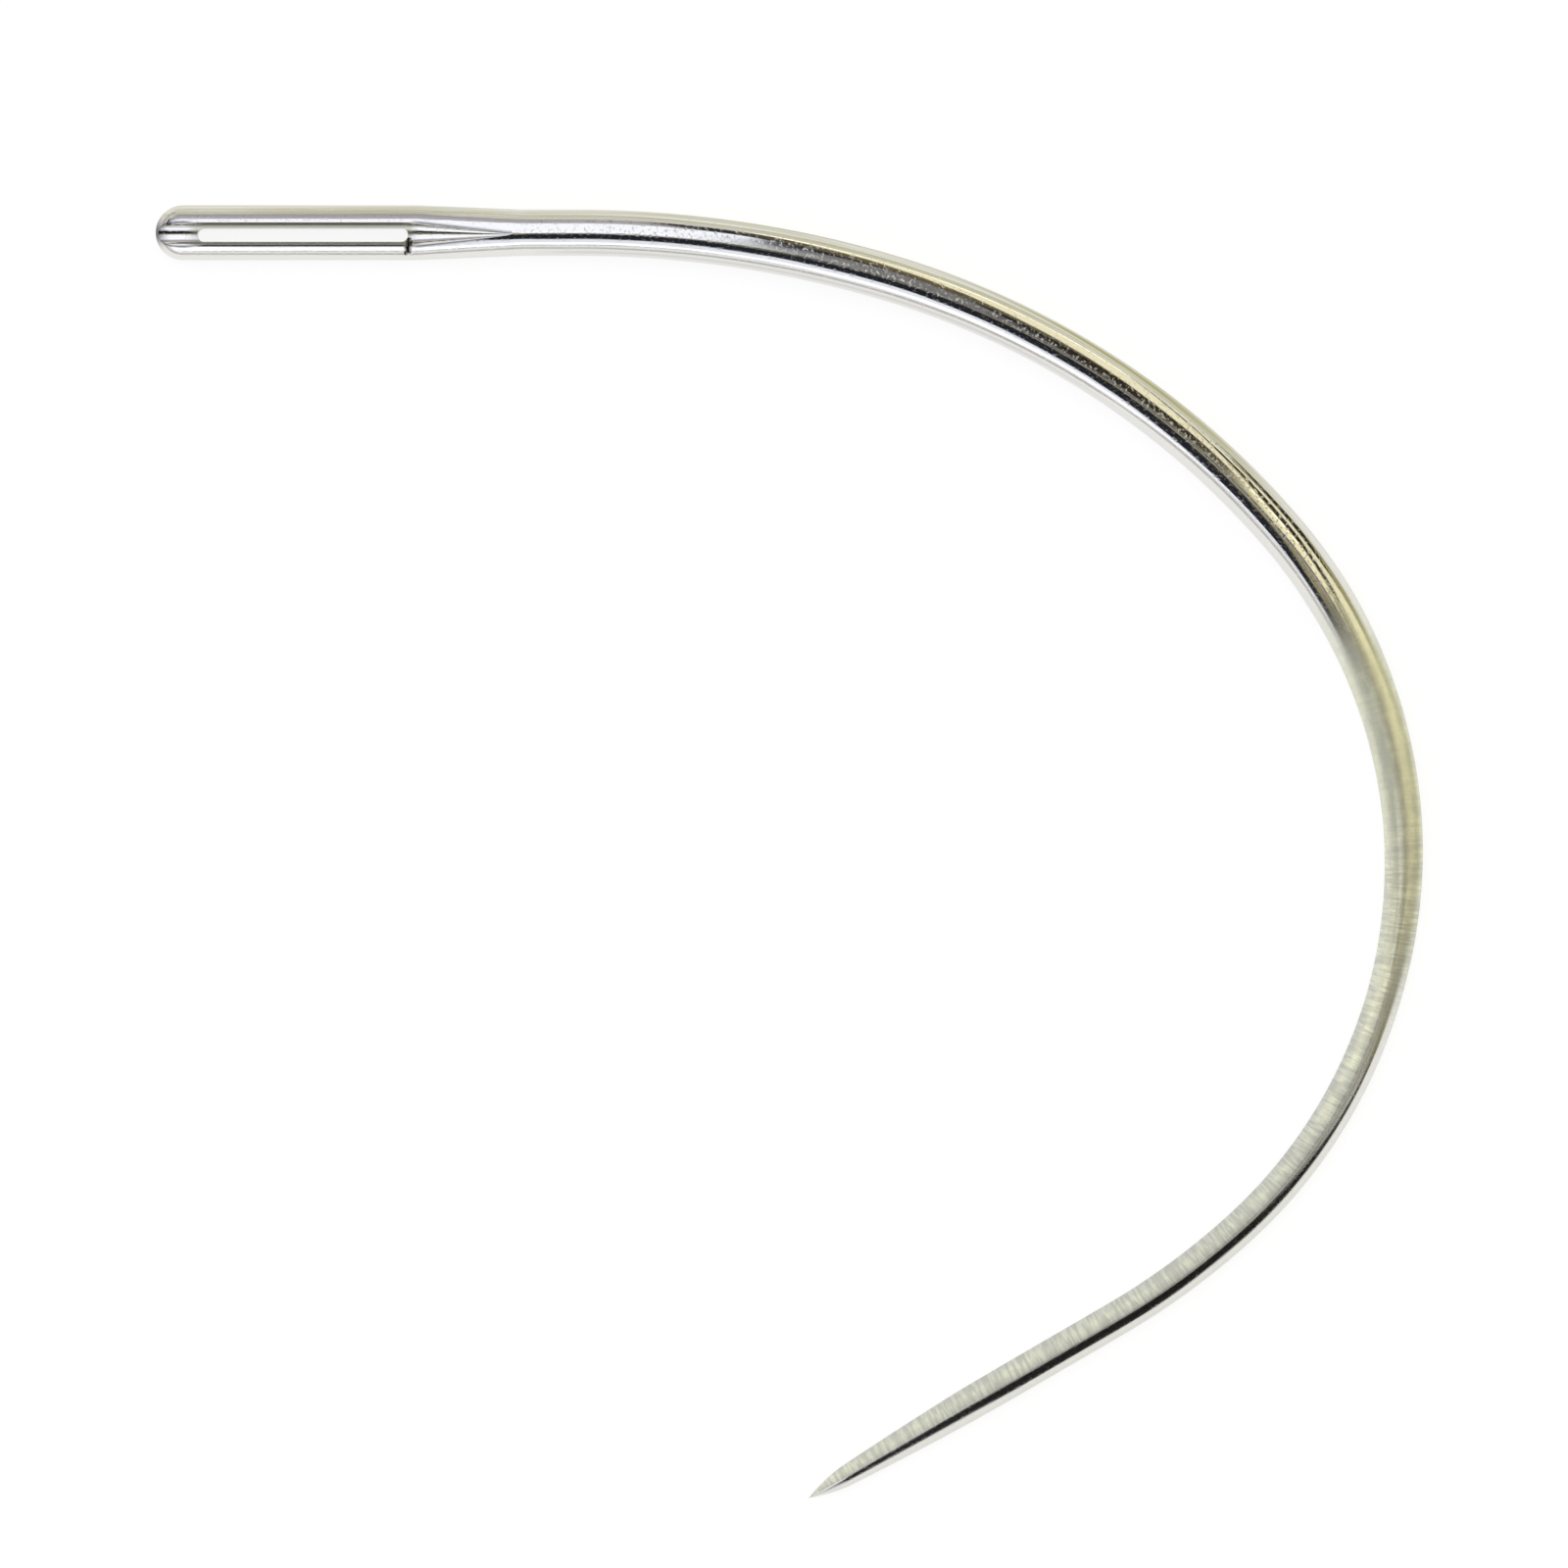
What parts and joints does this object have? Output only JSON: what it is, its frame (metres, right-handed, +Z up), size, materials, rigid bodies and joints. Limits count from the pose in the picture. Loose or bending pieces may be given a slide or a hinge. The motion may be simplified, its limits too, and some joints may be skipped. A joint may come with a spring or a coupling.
{
  "type": "curved leather needle",
  "caption": "Curved hand-sewing needle for leather: round shank, long slotted eye with gutters, and a triangular ground cutting point.",
  "frame": {"origin": "centre of the bounding box in plan, on the floor the needle lies on", "axes": "+Z up, square to the floor; the bend lies flat, the shank runs along +X from the eye end, the bow bulges towards +X and the point ends towards -Y"},
  "size_m": [0.0388, 0.0396, 0.0014],
  "materials": {
    "plated_steel": "polished nickel plate on carbon steel, ground on the blade"
  },
  "bodies": {
    "root": {"needle": "plated_steel"}
  },
  "joints": []
}
